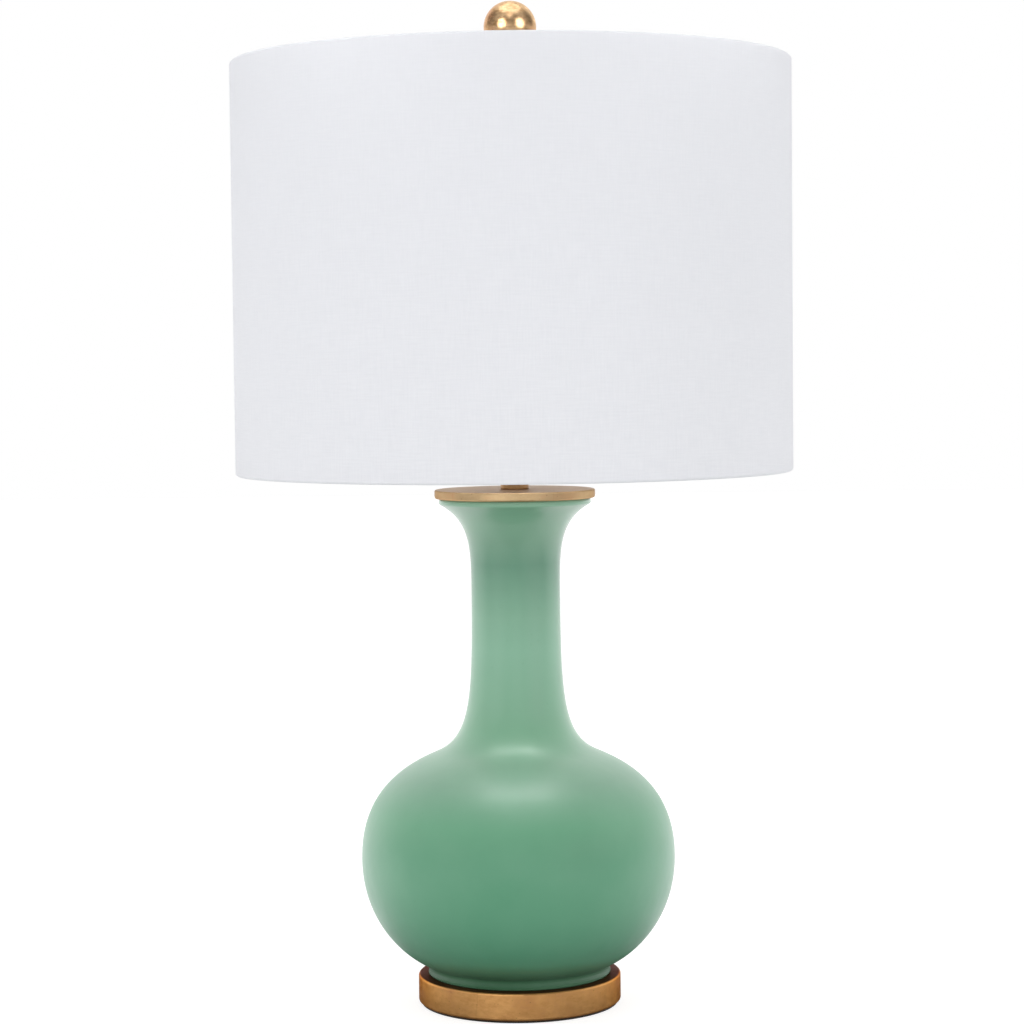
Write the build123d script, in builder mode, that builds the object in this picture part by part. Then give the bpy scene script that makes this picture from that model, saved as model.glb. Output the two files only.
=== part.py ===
from build123d import *
import os
from math import cos, radians, sin

# A ceramic table lamp: a bottle vase on a leafed plinth, a harp, a drum shade and a ball finial.
# Lengths are in millimetres and angles in degrees. The origin is the middle of the underside,
# +Z is up, the front is -Y and the cord leaves at the back.

# Felt and plinth
FELT_THICKNESS = 1.5
FELT_INSET = 2.0
PLINTH_RADIUS = 69.85
PLINTH_HEIGHT = 18.9
PLINTH_ROUND = 1.6
RECESS_RADIUS = 30.0
RECESS_DEPTH = 12.5

# Cord inlet in the back of the plinth
CORD_RISE = 7.5
CORD_CHANNEL_RADIUS = 3.6
BUSHING_BORE_RADIUS = 3.0
BUSHING_WALL = 1.2
BUSHING_LENGTH = 14.0
BUSHING_FLANGE_WIDTH = 1.2
BUSHING_FLANGE_THICKNESS = 2.0
BUSHING_SEAT_DEPTH = 1.2

# Threaded pipe through the whole stack, with its nut and washers
PIPE_RADIUS = 5.0
PIPE_BORE_RADIUS = 3.4
PIPE_OVERHANG = 1.5
PIPE_ENGAGEMENT = 8.0
NUT_FLAT_RADIUS = 8.0
NUT_THICKNESS = 5.0
LOCK_WASHER_RADIUS = 8.5
LOCK_WASHER_THICKNESS = 1.8
LOCK_WASHER_SPLIT = 1.5
WASHER_RADIUS = 16.0
WASHER_THICKNESS = 1.6

# Vase: stations of the thrown outline, and how far each curve runs along its heading there
VASE_WALL = 6.0
VASE_HOLE_RADIUS = 8.0
FOOT_RADIUS = 63.0
FOOT_HEIGHT = 6.9
FOOT_RIM = 8.5
FOOT_RECESS = 4.0
FOOT_ROUND = 1.4
FOOT_COVE = 1.2
SPRING_ANGLE = 22.7
SPRING_REACH = 21.6
BULB_RADIUS = 108.0
BULB_LOWER_HEIGHT = 81.2
BULB_LOWER_REACH = 41.2
BULB_UPPER_HEIGHT = 72.7
BULB_UPPER_REACH = 53.8
SHOULDER_RADIUS = 54.0
SHOULDER_ANGLE = 152.9
SHOULDER_OUTER_REACH = 13.6
SHOULDER_INNER_REACH = 25.4
NECK_RADIUS = 30.5
NECK_HEIGHT = 111.3
NECK_LOWER_REACH = 72.0
NECK_UPPER_REACH = 29.9
FLARE_HEIGHT = 59.0
FLARE_RADIUS = 51.5
FLARE_ANGLE = 28.9
FLARE_REACH = 23.3
LIP_HEIGHT = 4.1
LIP_ROUND = 1.6
RIM_ROUND = 1.2
MOUTH_RADIUS = 38.0

# Cap disc and collar
CAP_RADIUS = 55.1
CAP_THICKNESS = 6.0
CAP_ROUND = 1.2
CAP_SPIGOT_DEPTH = 5.0
COLLAR_RADIUS = 9.75
COLLAR_HEIGHT = 15.0
COLLAR_ROUND = 0.8

# Harp and the saddle that it plugs into
SADDLE_THICKNESS = 1.6
SADDLE_WIDTH = 12.0
SADDLE_HUB_RADIUS = 10.5
HARP_HEIGHT = 266.7
HARP_WIRE_RADIUS = 1.7
HARP_FOOT_SPAN = 60.0
HARP_WIDTH = 114.0
HARP_TOP_SPAN = 56.0
HARP_FLARE_RISE = 54.0
HARP_SHOULDER_DROP = 57.0
HARP_LEG_SPARE = 24.0
HARP_LEG_BEND = 80.0
HARP_FLARE_BEND = 110.0
HARP_SHOULDER_BEND = 95.0
HARP_TOP_BEND = 30.0
PEG_HEIGHT = 9.0
SLEEVE_LENGTH = 20.0
SLEEVE_WALL = 1.1
SLEEVE_TRAVEL = 12.0
BOSS_RADIUS = 7.0
BOSS_HEIGHT = 7.0
STUD_RADIUS = 3.175
STUD_HEIGHT = 9.5

# Socket
SOCKET_RADIUS = 16.8
SOCKET_SHEET = 0.7
SOCKET_HUB_RADIUS = 8.5
SOCKET_HUB_HEIGHT = 9.0
SOCKET_CAP_NECK = 4.0
SOCKET_CAP_DOME = 13.0
SOCKET_CAP_HEIGHT = 19.0
SOCKET_CAP_ROUND = 3.0
SOCKET_SHELL_START = 14.5
SOCKET_HEIGHT = 58.0
SOCKET_BEAD = 0.6
SOCKET_BEAD_HEIGHT = 1.6
INSULATOR_WALL = 0.9
INSULATOR_SETBACK = 2.0
BODY_START = 12.0
BODY_TOP = 30.0
BODY_FLAT = 10.5
SCREW_SHELL_RADIUS = 14.0
SCREW_SHELL_SHEET = 0.5
SCREW_SHELL_HOLE = 5.0
CONTACT_RADIUS = 3.5
CONTACT_HEIGHT = 3.0
TERMINAL_RISE = 17.5
TERMINAL_HEAD_RADIUS = 2.8
TERMINAL_HEAD_HEIGHT = 2.0
TERMINAL_SHANK_RADIUS = 1.5
TERMINAL_SHANK_LENGTH = 5.0

# Turn switch on the front of the socket
SWITCH_RISE = 26.0
STEM_RADIUS = 2.2
STEM_DEPTH = 9.0
STEM_GRIP = 9.0
KNOB_RADIUS = 6.3
KNOB_TAPER = 1.1
KNOB_LENGTH = 15.0
KNOB_ROUND = 0.8
KNOB_FLUTES = 12
KNOB_FLUTE_RADIUS = 0.7

# Bulb
BULB_TIP_RADIUS = 4.5
BULB_TIP_HEIGHT = 2.0
BULB_CONE_HEIGHT = 4.0
BULB_CONE_RADIUS = 11.0
BULB_SCREW_RADIUS = 13.0
BULB_SCREW_HEIGHT = 19.0
BULB_HOUSING_HEIGHT = 33.0
BULB_HOUSING_WALL = 1.6
BULB_GLOBE_RADIUS = 30.0
BULB_GLOBE_WALL = 1.2
BULB_LENGTH = 110.0
BOARD_THICKNESS = 1.6

# Drum shade
SHADE_RADIUS = 190.5
SHADE_HEIGHT = 279.4
FABRIC_THICKNESS = 0.6
LINER_THICKNESS = 0.6
LINER_INSET = 2.8
SHADE_WIRE_RADIUS = 1.75
HEM_DEPTH = 10.0
HEM_ROLL = 2.0
SPIDER_RECESS = 7.2
SPIDER_WASHER_RADIUS = 14.0
SPIDER_WASHER_THICKNESS = 2.0
SPIDER_HOLE_RADIUS = 3.7
ARM_COUNT = 3
ARM_RADIUS = 1.6
ARM_OVERLAP = 3.0
FIRST_ARM_ANGLE = 90.0

# Finial
FINIAL_BALL_RADIUS = 18.0
FINIAL_SEAT_RADIUS = 6.0
FINIAL_FLANGE_RADIUS = 7.5
FINIAL_FLANGE_HEIGHT = 2.5
FINIAL_NECK_RADIUS = 5.0
FINIAL_BASE_HEIGHT = 13.6
FINIAL_ROUND = 0.8
FINIAL_BORE_SPARE = 0.8

# Clearances
THREAD_CLEARANCE = 0.1
PIPE_CLEARANCE = 0.3
SPIGOT_CLEARANCE = 0.5
BUSHING_CLEARANCE = 0.1
SLIDE_CLEARANCE = 0.08
LOOSE_CLEARANCE = 0.3
TIGHT_CLEARANCE = 0.15
STEM_CLEARANCE = 0.8
KNOB_CLEARANCE = 1.0

# Levels of the stack, from the table up
PLINTH_TOP = FELT_THICKNESS + PLINTH_HEIGHT
RECESS_TOP = FELT_THICKNESS + RECESS_DEPTH
VASE_HEIGHT = BULB_LOWER_HEIGHT + BULB_UPPER_HEIGHT + NECK_HEIGHT + FLARE_HEIGHT + LIP_HEIGHT
VASE_TOP = PLINTH_TOP + VASE_HEIGHT
CAP_TOP = VASE_TOP + CAP_THICKNESS
COLLAR_TOP = CAP_TOP + COLLAR_HEIGHT
SADDLE_TOP = COLLAR_TOP + SADDLE_THICKNESS
HARP_SEAT = COLLAR_TOP + HARP_HEIGHT
SPIDER_TOP = HARP_SEAT + SPIDER_WASHER_THICKNESS
FINIAL_TOP_OF_BASE = SPIDER_TOP + FINIAL_BASE_HEIGHT
SHADE_TOP = SPIDER_TOP + SPIDER_RECESS
SHADE_BOTTOM = SHADE_TOP - SHADE_HEIGHT

# Radii shared by pieces that fit together
PIPE_HOLE_RADIUS = PIPE_RADIUS + PIPE_CLEARANCE
THREAD_RADIUS = PIPE_RADIUS + THREAD_CLEARANCE
BUSHING_RADIUS = BUSHING_BORE_RADIUS + BUSHING_WALL
BUSHING_FLANGE_RADIUS = BUSHING_RADIUS + BUSHING_FLANGE_WIDTH


def upright(height):
    """The front view plane, with its x away from the lamp's axis and its y up from this height."""
    return Plane(origin=(0, 0, height), x_dir=(1, 0, 0), z_dir=(0, -1, 0))


def facing_back(distance, height):
    """The plane that looks out of the back of the lamp, at this distance from its axis."""
    return Plane(origin=(0, distance, height), x_dir=(1, 0, 0), z_dir=(0, 1, 0))


def facing_front(distance, height):
    """The plane that looks out of the front of the lamp, at this distance from its axis."""
    return Plane(origin=(0, -distance, height), x_dir=(1, 0, 0), z_dir=(0, -1, 0))


def heading(angle):
    """The unit step in a flat outline at this angle from its x."""
    return Vector(cos(radians(angle)), sin(radians(angle)))


# Felt glued under the plinth
with BuildPart() as felt_pad:
    with BuildSketch():
        Circle(PLINTH_RADIUS - FELT_INSET)
    extrude(amount=FELT_THICKNESS)

# Turned plinth, recessed underneath for the pipe nut and drilled from the back for the cord
cord_height = FELT_THICKNESS + CORD_RISE
with BuildPart() as base_plinth:
    with BuildSketch(Plane.XY.offset(FELT_THICKNESS)):
        Circle(PLINTH_RADIUS)
    extrude(amount=PLINTH_HEIGHT)
    fillet(base_plinth.edges(), PLINTH_ROUND)
    with BuildSketch(Plane.XY.offset(FELT_THICKNESS)):
        Circle(RECESS_RADIUS)
    extrude(amount=RECESS_DEPTH, mode=Mode.SUBTRACT)
    with Locations((0, 0, PLINTH_TOP)):
        Hole(PIPE_HOLE_RADIUS)
    with Locations(facing_back(PLINTH_RADIUS, cord_height)):
        CounterBoreHole(
            BUSHING_RADIUS + BUSHING_CLEARANCE,
            BUSHING_FLANGE_RADIUS + BUSHING_CLEARANCE,
            BUSHING_SEAT_DEPTH,
            BUSHING_SEAT_DEPTH + BUSHING_LENGTH,
        )
        Hole(CORD_CHANNEL_RADIUS, PLINTH_RADIUS - RECESS_RADIUS + CORD_CHANNEL_RADIUS)

# Flanged bushing that lines the cord hole
bushing_seat = PLINTH_RADIUS - BUSHING_SEAT_DEPTH
with BuildPart() as cord_bushing:
    with BuildSketch(facing_back(bushing_seat, cord_height)):
        Circle(BUSHING_FLANGE_RADIUS)
    extrude(amount=BUSHING_FLANGE_THICKNESS)
    fillet(cord_bushing.edges().sort_by(Axis.Y)[-1], BUSHING_FLANGE_WIDTH / 2)
    with BuildSketch(facing_back(bushing_seat, cord_height)):
        Circle(BUSHING_RADIUS)
    extrude(amount=-BUSHING_LENGTH)
    with Locations(facing_back(bushing_seat + BUSHING_FLANGE_THICKNESS, cord_height)):
        Hole(BUSHING_BORE_RADIUS)

# Washer, split lock washer and hex nut, stacked down from the roof of the recess
with BuildPart() as base_washer:
    with BuildSketch(Plane.XY.offset(RECESS_TOP)):
        Circle(WASHER_RADIUS)
        Circle(PIPE_HOLE_RADIUS, mode=Mode.SUBTRACT)
    extrude(amount=-WASHER_THICKNESS)

lock_washer_top = RECESS_TOP - WASHER_THICKNESS
with BuildPart() as base_lock_washer:
    with BuildSketch(Plane.XY.offset(lock_washer_top)):
        Circle(LOCK_WASHER_RADIUS)
        Circle(PIPE_HOLE_RADIUS, mode=Mode.SUBTRACT)
        with Locations((0, LOCK_WASHER_RADIUS)):
            Rectangle(LOCK_WASHER_SPLIT, 2 * (LOCK_WASHER_RADIUS - PIPE_RADIUS), mode=Mode.SUBTRACT)
    extrude(amount=-LOCK_WASHER_THICKNESS)

nut_top = lock_washer_top - LOCK_WASHER_THICKNESS
with BuildPart() as base_nut:
    with BuildSketch(Plane.XY.offset(nut_top)):
        RegularPolygon(NUT_FLAT_RADIUS, 6, major_radius=False)
        Circle(THREAD_RADIUS, mode=Mode.SUBTRACT)
    extrude(amount=-NUT_THICKNESS)

# Hollow pipe from under the nut to inside the socket's hub
pipe_bottom = nut_top - NUT_THICKNESS - PIPE_OVERHANG
with BuildPart() as lamp_pipe:
    with BuildSketch(Plane.XY.offset(pipe_bottom)):
        Circle(PIPE_RADIUS)
        Circle(PIPE_BORE_RADIUS, mode=Mode.SUBTRACT)
    extrude(amount=SADDLE_TOP + PIPE_ENGAGEMENT - pipe_bottom)

# Thrown vase: foot ring, round bulb, long waisted neck and flared mouth, with an even wall.
# Each stretch of the outline leaves one station along its heading and reaches the next along its own.
UP = heading(90)
SHARES_OF_A_CURVE = (0, 0.35, 0.7)


def inside(curve, share):
    """The point of the inner wall that faces this share of an outer curve."""
    along = curve % share
    return curve @ share + Vector(-along.Y, along.X) * VASE_WALL


spring = Vector(FOOT_RADIUS, FOOT_HEIGHT)
widest = Vector(BULB_RADIUS, BULB_LOWER_HEIGHT)
shoulder = Vector(SHOULDER_RADIUS, widest.Y + BULB_UPPER_HEIGHT)
waist = Vector(NECK_RADIUS, shoulder.Y + NECK_HEIGHT)
flare = Vector(FLARE_RADIUS, waist.Y + FLARE_HEIGHT)
with BuildPart() as vase_body:
    with BuildSketch(upright(PLINTH_TOP)):
        with BuildLine():
            foot = Polyline(
                (VASE_HOLE_RADIUS, FOOT_RECESS),
                (FOOT_RADIUS - FOOT_RIM, FOOT_RECESS),
                (FOOT_RADIUS - FOOT_RIM, 0),
                (FOOT_RADIUS - FOOT_ROUND, 0),
            )
            foot_edge = JernArc(foot @ 1, (1, 0), FOOT_ROUND, 90)
            ThreePointArc(foot_edge @ 1, (FOOT_RADIUS - FOOT_COVE, (FOOT_ROUND + FOOT_HEIGHT) / 2), spring)
            lower_bulb = Bezier(
                spring, spring + heading(SPRING_ANGLE) * SPRING_REACH, widest - UP * BULB_LOWER_REACH, widest
            )
            upper_bulb = Bezier(
                widest,
                widest + UP * BULB_UPPER_REACH,
                shoulder - heading(SHOULDER_ANGLE) * SHOULDER_OUTER_REACH,
                shoulder,
            )
            lower_neck = Bezier(
                shoulder,
                shoulder + heading(SHOULDER_ANGLE) * SHOULDER_INNER_REACH,
                waist - UP * NECK_LOWER_REACH,
                waist,
            )
            upper_neck = Bezier(
                waist, waist + UP * NECK_UPPER_REACH, flare - heading(FLARE_ANGLE) * FLARE_REACH, flare
            )
            lip = JernArc(flare, heading(FLARE_ANGLE), LIP_ROUND, 90 - FLARE_ANGLE)
            rim_edge = Line(lip @ 1, ((lip @ 1).X, VASE_HEIGHT - RIM_ROUND))
            rim = JernArc(rim_edge @ 1, UP, RIM_ROUND, 90)
            outline = (lower_bulb, upper_bulb, lower_neck, upper_neck)
            inner_wall = Spline([inside(curve, share) for curve in outline for share in SHARES_OF_A_CURVE])
            Polyline(
                rim @ 1,
                (MOUTH_RADIUS, VASE_HEIGHT),
                (MOUTH_RADIUS, VASE_HEIGHT - CAP_SPIGOT_DEPTH - SPIGOT_CLEARANCE),
                inner_wall @ 1,
            )
            Polyline(inner_wall @ 0, (VASE_HOLE_RADIUS, (inner_wall @ 0).Y), foot @ 0)
        make_face()
    revolve(axis=Axis.Z)

# Cap disc that closes the mouth, with a spigot that centres it
with BuildPart() as vase_cap:
    with BuildSketch(Plane.XY.offset(VASE_TOP)):
        Circle(CAP_RADIUS)
    extrude(amount=CAP_THICKNESS)
    fillet(vase_cap.edges(), CAP_ROUND)
    with BuildSketch(Plane.XY.offset(VASE_TOP)):
        Circle(MOUTH_RADIUS - SPIGOT_CLEARANCE)
    extrude(amount=-CAP_SPIGOT_DEPTH)
    with Locations((0, 0, CAP_TOP)):
        Hole(PIPE_HOLE_RADIUS)

# Collar between the cap and the harp saddle
with BuildPart() as neck_collar:
    with BuildSketch(Plane.XY.offset(CAP_TOP)):
        Circle(COLLAR_RADIUS)
    extrude(amount=COLLAR_HEIGHT)
    fillet(neck_collar.edges(), COLLAR_ROUND)
    with Locations((0, 0, COLLAR_TOP)):
        Hole(PIPE_HOLE_RADIUS)

# Stamped saddle under the socket, with a peg at each end for a leg of the harp
foot_half = HARP_FOOT_SPAN / 2
peg_top = SADDLE_TOP + PEG_HEIGHT
with BuildPart() as harp_saddle:
    with BuildSketch(Plane.XY.offset(COLLAR_TOP)):
        SlotCenterToCenter(HARP_FOOT_SPAN, SADDLE_WIDTH)
        Circle(SADDLE_HUB_RADIUS)
        Circle(PIPE_HOLE_RADIUS, mode=Mode.SUBTRACT)
    extrude(amount=SADDLE_THICKNESS)
    with BuildSketch(Plane.XY.offset(SADDLE_TOP)):
        with Locations((-foot_half, 0), (foot_half, 0)):
            Circle(HARP_WIRE_RADIUS)
    extrude(amount=PEG_HEIGHT)

# Harp: one bent wire from peg to peg, bowed out round the bulb and flat on top
sleeve_bottom = SADDLE_TOP + LOOSE_CLEARANCE
leg_top = sleeve_bottom + SLEEVE_LENGTH + SLEEVE_TRAVEL + HARP_LEG_SPARE
wire_top = HARP_SEAT - BOSS_HEIGHT / 2
side = HARP_WIDTH / 2
top_half = HARP_TOP_SPAN / 2
harp_bends = (HARP_LEG_BEND, HARP_FLARE_BEND, HARP_SHOULDER_BEND, HARP_TOP_BEND)
with BuildPart() as harp_wire:
    with BuildLine(Plane.XZ) as harp_path:
        FilletPolyline(
            (foot_half, peg_top),
            (foot_half, leg_top),
            (side, leg_top + HARP_FLARE_RISE),
            (side, wire_top - HARP_SHOULDER_DROP),
            (top_half, wire_top),
            (-top_half, wire_top),
            (-side, wire_top - HARP_SHOULDER_DROP),
            (-side, leg_top + HARP_FLARE_RISE),
            (-foot_half, leg_top),
            (-foot_half, peg_top),
            radius=harp_bends + harp_bends[::-1],
        )
    with BuildSketch(Plane.XY.offset(peg_top)):
        with Locations((foot_half, 0)):
            Circle(HARP_WIRE_RADIUS)
    sweep()

# Boss clamped round the top of the wire, with the threaded stud that carries shade and finial
with BuildPart() as harp_stud:
    with BuildSketch(Plane.XY.offset(HARP_SEAT)):
        Circle(BOSS_RADIUS)
    extrude(amount=-BOSS_HEIGHT)
    with BuildSketch(Plane.XY.offset(HARP_SEAT)):
        Circle(STUD_RADIUS)
    extrude(amount=SPIDER_WASHER_THICKNESS + STUD_HEIGHT)
    with BuildSketch(Plane.YZ):
        with Locations((0, wire_top)):
            Circle(HARP_WIRE_RADIUS + TIGHT_CLEARANCE)
    extrude(amount=BOSS_RADIUS, both=True, mode=Mode.SUBTRACT)

# Sleeves that lock the harp: each slides up off its peg
sleeves = {}
for name, place in (("left_harp_sleeve", -foot_half), ("right_harp_sleeve", foot_half)):
    with BuildPart() as sleeve:
        with BuildSketch(Plane.XY.offset(sleeve_bottom)):
            with Locations((place, 0)):
                Circle(HARP_WIRE_RADIUS + SLIDE_CLEARANCE + SLEEVE_WALL)
                Circle(HARP_WIRE_RADIUS + SLIDE_CLEARANCE, mode=Mode.SUBTRACT)
        extrude(amount=SLEEVE_LENGTH)
    sleeves[name] = sleeve

# Socket cap: a spun cup on a threaded hub
cap_outer = SOCKET_RADIUS + TIGHT_CLEARANCE + SOCKET_SHEET
cap_inner = SOCKET_RADIUS + TIGHT_CLEARANCE
with BuildPart() as socket_cap:
    with BuildSketch(upright(SADDLE_TOP)):
        with BuildLine():
            outside = FilletPolyline(
                (SOCKET_HUB_RADIUS, 0),
                (SOCKET_HUB_RADIUS, SOCKET_CAP_NECK),
                (cap_outer, SOCKET_CAP_DOME),
                (cap_outer, SOCKET_CAP_HEIGHT),
                radius=SOCKET_CAP_ROUND,
            )
            Polyline(
                outside @ 1,
                (cap_inner, SOCKET_CAP_HEIGHT),
                (cap_inner, SOCKET_CAP_DOME),
                (SOCKET_HUB_RADIUS, SOCKET_CAP_NECK + 2 * SOCKET_SHEET),
                (SOCKET_HUB_RADIUS, SOCKET_HUB_HEIGHT),
                (THREAD_RADIUS, SOCKET_HUB_HEIGHT),
                (THREAD_RADIUS, 0),
                outside @ 0,
            )
        make_face()
    revolve(axis=Axis.Z)

# Socket shell with a rolled bead round its mouth and a hole for the switch stem
switch_height = SADDLE_TOP + SWITCH_RISE
shell_inner = SOCKET_RADIUS - SOCKET_SHEET
stem_hole_radius = STEM_RADIUS + STEM_CLEARANCE
with BuildPart() as socket_shell:
    with BuildSketch(upright(SADDLE_TOP)):
        with BuildLine():
            Polyline(
                (shell_inner, SOCKET_SHELL_START),
                (SOCKET_RADIUS, SOCKET_SHELL_START),
                (SOCKET_RADIUS, SOCKET_HEIGHT - SOCKET_BEAD_HEIGHT - SOCKET_BEAD),
                (SOCKET_RADIUS + SOCKET_BEAD, SOCKET_HEIGHT - SOCKET_BEAD_HEIGHT),
                (SOCKET_RADIUS + SOCKET_BEAD, SOCKET_HEIGHT),
                (shell_inner, SOCKET_HEIGHT),
                close=True,
            )
        make_face()
    revolve(axis=Axis.Z)
    with BuildSketch(Plane.XZ):
        with Locations((0, switch_height)):
            Circle(stem_hole_radius)
    extrude(amount=2 * SOCKET_RADIUS, mode=Mode.SUBTRACT)

# Card sleeve that lines the shell
insulator_outer = shell_inner - TIGHT_CLEARANCE
insulator_inner = insulator_outer - INSULATOR_WALL
with BuildPart() as socket_insulator:
    with BuildSketch(Plane.XY.offset(SADDLE_TOP + SOCKET_SHELL_START)):
        Circle(insulator_outer)
        Circle(insulator_inner, mode=Mode.SUBTRACT)
    extrude(amount=SOCKET_HEIGHT - INSULATOR_SETBACK - SOCKET_SHELL_START)
    with BuildSketch(Plane.XZ):
        with Locations((0, switch_height)):
            Circle(stem_hole_radius)
    extrude(amount=2 * SOCKET_RADIUS, mode=Mode.SUBTRACT)

# Moulded socket body that holds the switch, with a flat on each side for a terminal
with BuildPart() as socket_body:
    with BuildSketch(Plane.XY.offset(SADDLE_TOP + BODY_START)):
        Circle(insulator_inner - TIGHT_CLEARANCE)
        Rectangle(2 * BODY_FLAT, 4 * SOCKET_RADIUS, mode=Mode.INTERSECT)
    extrude(amount=BODY_TOP - BODY_START)
    with BuildSketch(Plane.XZ):
        with Locations((0, switch_height)):
            Circle(STEM_RADIUS + SLIDE_CLEARANCE)
    extrude(amount=2 * SOCKET_RADIUS, mode=Mode.SUBTRACT)
    with BuildSketch(Plane.YZ):
        with Locations((0, SADDLE_TOP + TERMINAL_RISE)):
            Circle(TERMINAL_SHANK_RADIUS + THREAD_CLEARANCE)
    extrude(amount=2 * SOCKET_RADIUS, both=True, mode=Mode.SUBTRACT)

# Two terminal screws, one in each flat
with BuildPart() as terminal_screws:
    for way in (1, -1):
        with BuildSketch(Plane.YZ.offset(way * BODY_FLAT)):
            with Locations((0, SADDLE_TOP + TERMINAL_RISE)):
                Circle(TERMINAL_HEAD_RADIUS)
        extrude(amount=way * TERMINAL_HEAD_HEIGHT)
        with BuildSketch(Plane.YZ.offset(way * BODY_FLAT)):
            with Locations((0, SADDLE_TOP + TERMINAL_RISE)):
                Circle(TERMINAL_SHANK_RADIUS)
        extrude(amount=-way * TERMINAL_SHANK_LENGTH)

# Screw shell that takes the bulb, and the contact in its floor
with BuildPart() as socket_screw_shell:
    with BuildSketch(upright(SADDLE_TOP)):
        with BuildLine():
            Polyline(
                (SCREW_SHELL_HOLE, BODY_TOP),
                (SCREW_SHELL_RADIUS, BODY_TOP),
                (SCREW_SHELL_RADIUS, SOCKET_HEIGHT - INSULATOR_SETBACK),
                (SCREW_SHELL_RADIUS - SCREW_SHELL_SHEET, SOCKET_HEIGHT - INSULATOR_SETBACK),
                (SCREW_SHELL_RADIUS - SCREW_SHELL_SHEET, BODY_TOP + SCREW_SHELL_SHEET),
                (SCREW_SHELL_HOLE, BODY_TOP + SCREW_SHELL_SHEET),
                close=True,
            )
        make_face()
    revolve(axis=Axis.Z)

with BuildPart() as socket_contact:
    with BuildSketch(Plane.XY.offset(SADDLE_TOP + BODY_TOP)):
        Circle(CONTACT_RADIUS)
    extrude(amount=CONTACT_HEIGHT)

# Switch stem through the shell, and the fluted knob on its end
stem_start = insulator_inner - STEM_DEPTH
knob_start = cap_outer + KNOB_CLEARANCE
with BuildPart() as switch_stem:
    with BuildSketch(facing_front(stem_start, switch_height)):
        Circle(STEM_RADIUS)
    extrude(amount=knob_start + STEM_GRIP - stem_start)

with BuildPart() as switch_knob:
    with BuildSketch(facing_front(knob_start, switch_height)):
        Circle(KNOB_RADIUS)
    with BuildSketch(facing_front(knob_start + KNOB_LENGTH, switch_height)):
        Circle(KNOB_RADIUS - KNOB_TAPER)
    loft()
    fillet(switch_knob.edges().filter_by(GeomType.CIRCLE).sort_by(Axis.Y)[0], KNOB_ROUND)
    with BuildSketch(facing_front(knob_start, switch_height)):
        with PolarLocations(KNOB_RADIUS, KNOB_FLUTES):
            Circle(KNOB_FLUTE_RADIUS)
    extrude(amount=KNOB_LENGTH, mode=Mode.SUBTRACT)
    with BuildSketch(facing_front(knob_start, switch_height)):
        Circle(STEM_RADIUS + SLIDE_CLEARANCE)
    extrude(amount=STEM_GRIP + SLIDE_CLEARANCE, mode=Mode.SUBTRACT)

# Bulb, from the tip up: contact, insulating cone, screw base, housing, board and frosted globe
bulb_bottom = SADDLE_TOP + BODY_TOP + CONTACT_HEIGHT + LOOSE_CLEARANCE
cone_top = BULB_TIP_HEIGHT + BULB_CONE_HEIGHT
screw_top = cone_top + BULB_SCREW_HEIGHT
housing_top = screw_top + BULB_HOUSING_HEIGHT
globe_center = BULB_LENGTH - BULB_GLOBE_RADIUS
with BuildPart() as bulb_contact:
    with BuildSketch(Plane.XY.offset(bulb_bottom)):
        Circle(BULB_TIP_RADIUS)
    extrude(amount=BULB_TIP_HEIGHT)
    fillet(bulb_contact.edges().sort_by(Axis.Z)[0], BULB_TIP_HEIGHT / 2)

with BuildPart() as bulb_insulator:
    with BuildSketch(Plane.XY.offset(bulb_bottom + BULB_TIP_HEIGHT)):
        Circle(BULB_TIP_RADIUS)
    with BuildSketch(Plane.XY.offset(bulb_bottom + cone_top)):
        Circle(BULB_CONE_RADIUS)
    loft()

with BuildPart() as bulb_base:
    with BuildSketch(Plane.XY.offset(bulb_bottom + cone_top)):
        Circle(BULB_SCREW_RADIUS)
    extrude(amount=BULB_SCREW_HEIGHT)
    chamfer(bulb_base.edges().sort_by(Axis.Z)[0], BULB_SCREW_RADIUS - BULB_CONE_RADIUS)

# The globe is a ball cut off where the housing ends; the housing widens to meet it
globe_drop = globe_center - housing_top
globe_mouth = (BULB_GLOBE_RADIUS**2 - globe_drop**2) ** 0.5
board_radius = globe_mouth - BULB_HOUSING_WALL
with BuildPart() as bulb_housing:
    with BuildSketch(upright(bulb_bottom)):
        with BuildLine():
            neck = Line((0, screw_top), (BULB_SCREW_RADIUS, screw_top))
            side_curve = TangentArc(neck @ 1, (globe_mouth, housing_top), tangent=UP)
            Polyline(
                side_curve @ 1,
                (board_radius, housing_top),
                (board_radius, housing_top - BOARD_THICKNESS),
                (0, housing_top - BOARD_THICKNESS),
                neck @ 0,
            )
        make_face()
    revolve(axis=Axis.Z)

with BuildPart() as bulb_board:
    with BuildSketch(Plane.XY.offset(bulb_bottom + housing_top)):
        Circle(board_radius - TIGHT_CLEARANCE)
    extrude(amount=-BOARD_THICKNESS)

with BuildPart() as bulb_globe:
    with Locations((0, 0, bulb_bottom + globe_center)):
        Sphere(BULB_GLOBE_RADIUS)
        Sphere(BULB_GLOBE_RADIUS - BULB_GLOBE_WALL, mode=Mode.SUBTRACT)
    split(bisect_by=Plane.XY.offset(bulb_bottom + housing_top))

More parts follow.
